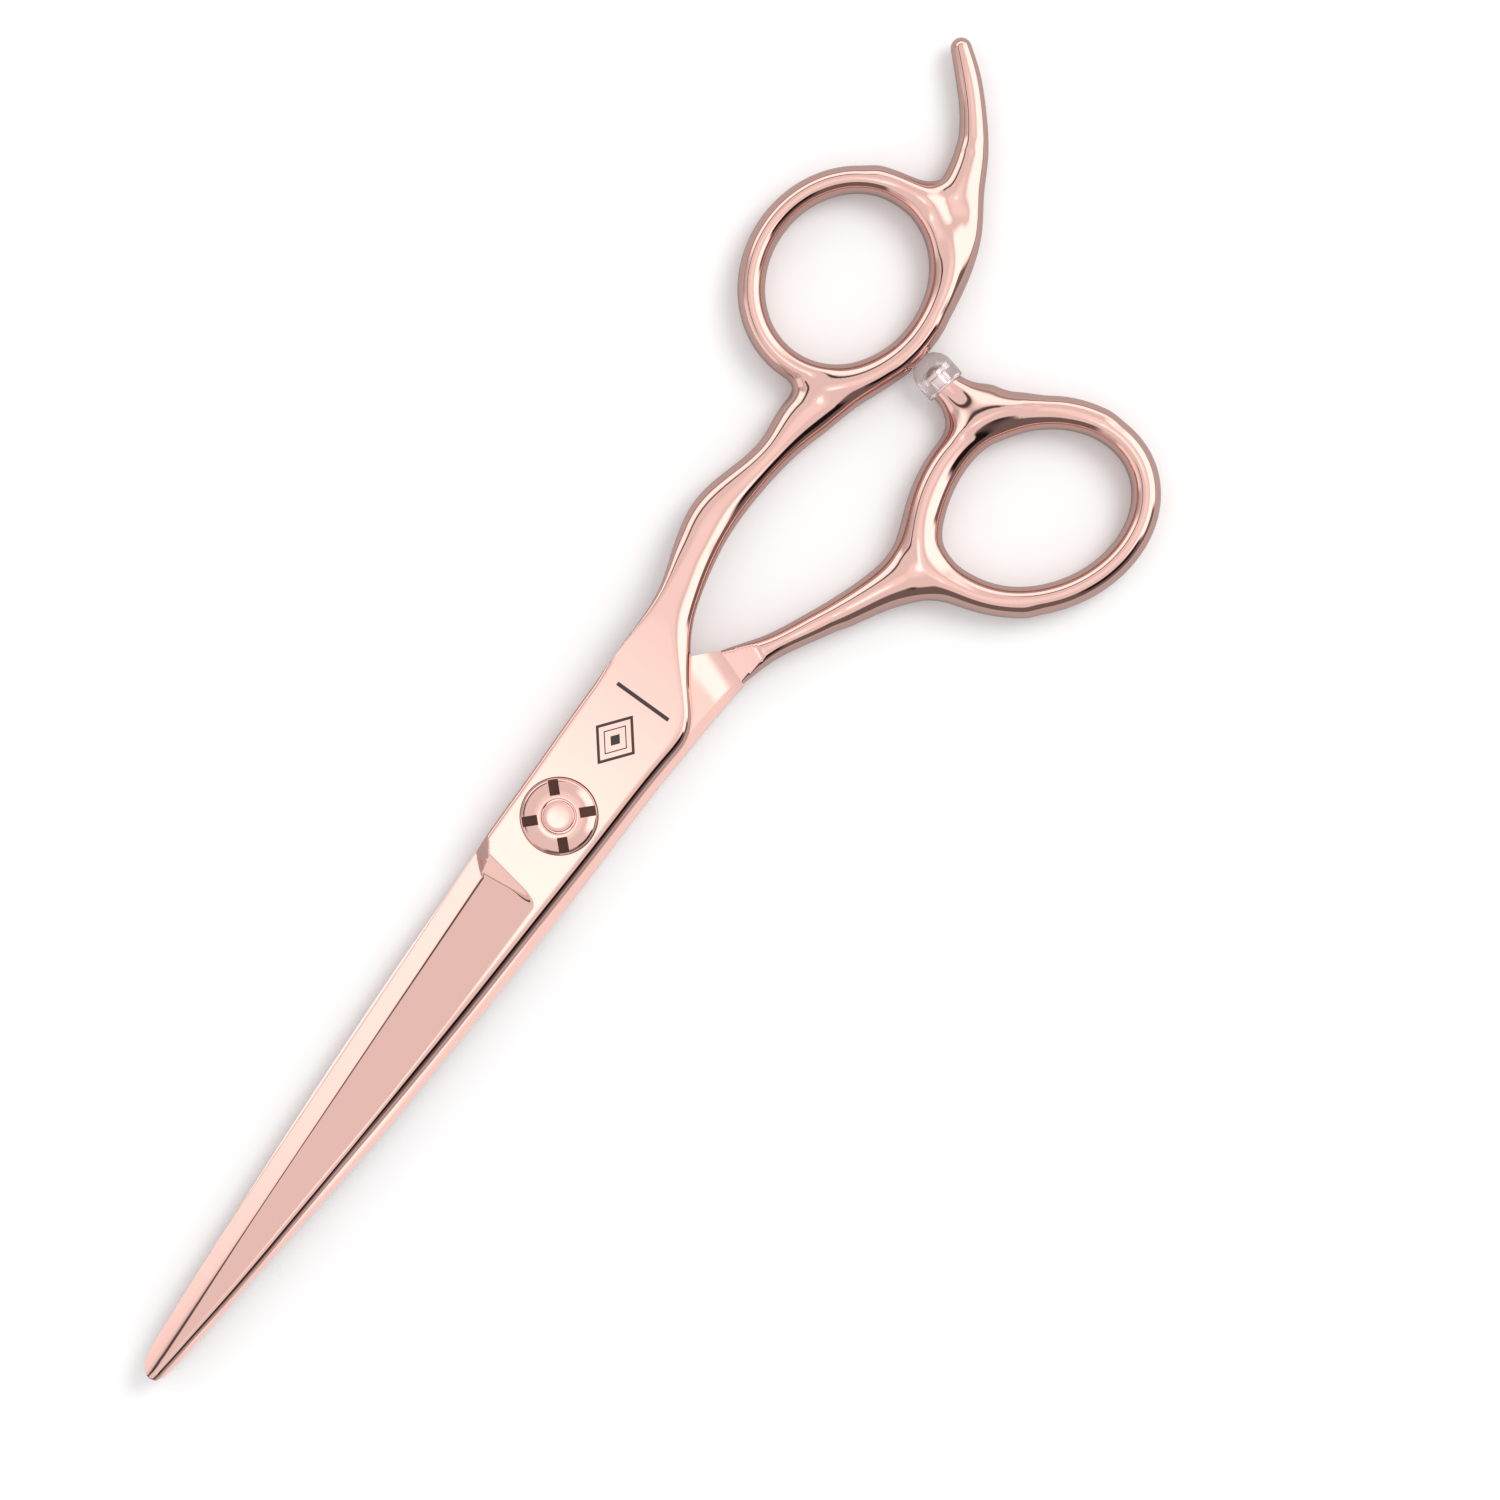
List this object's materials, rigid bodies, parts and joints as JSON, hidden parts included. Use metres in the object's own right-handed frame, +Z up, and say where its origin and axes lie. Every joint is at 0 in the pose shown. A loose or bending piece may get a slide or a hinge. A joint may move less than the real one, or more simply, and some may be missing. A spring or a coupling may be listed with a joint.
{
  "type": "hair cutting shears",
  "caption": "Straight-bladed hair cutting shears: two ground blades on a dial-adjusted pivot, offset oval finger rings, a fixed finger rest and a soft bumper.",
  "frame": {"origin": "on the pivot axis, at the flat underside of the pivot bolt's head, which lies in the plane the shears rest on", "axes": "+X along the closed blades to their tips, +Z up through the tension dial, +Y to the thumb ring's side"},
  "size_m": [0.1692, 0.0546, 0.008],
  "materials": {
    "rose_gold": "mirror-polished rose-gold plating on steel",
    "spring_steel": "bright steel",
    "white_plastic": "low-friction moulded plastic",
    "clear_silicone": "clear soft silicone"
  },
  "bodies": {
    "thumb_half": {"thumb_blade": "rose_gold", "thumb_handle": "rose_gold", "pivot_bolt": "rose_gold", "glide_washer": "white_plastic", "disc_spring": "spring_steel", "bumper_stud": "spring_steel", "bumper": "clear_silicone"},
    "finger_half": {"finger_blade": "rose_gold", "finger_handle": "rose_gold", "pivot_bushing": "white_plastic", "thrust_washer": "spring_steel"},
    "click_plate": {"click_plate": "spring_steel"},
    "dial": {"tension_dial": "rose_gold"}
  },
  "joints": [
    {"name": "blade_pivot", "type": "hinge", "parent": "thumb_half", "child": "finger_half", "pos_m": [0, 0, 0], "axis": [0, 0, 1], "range_deg": [0, 140]},
    {"name": "dial_travel", "type": "slide", "parent": "thumb_half", "child": "click_plate", "axis": [0, 0, 1], "range_m": [-0.000125, 0.000125], "deforming": ["disc_spring"]},
    {"name": "dial_turn", "type": "hinge", "parent": "click_plate", "child": "dial", "pos_m": [0, 0, 0], "axis": [0, 0, 1], "range_deg": [-90, 90]}
  ],
  "couplings": [
    {"joint": "dial_turn", "follows": "dial_travel", "rad_per_m": 12566}
  ]
}
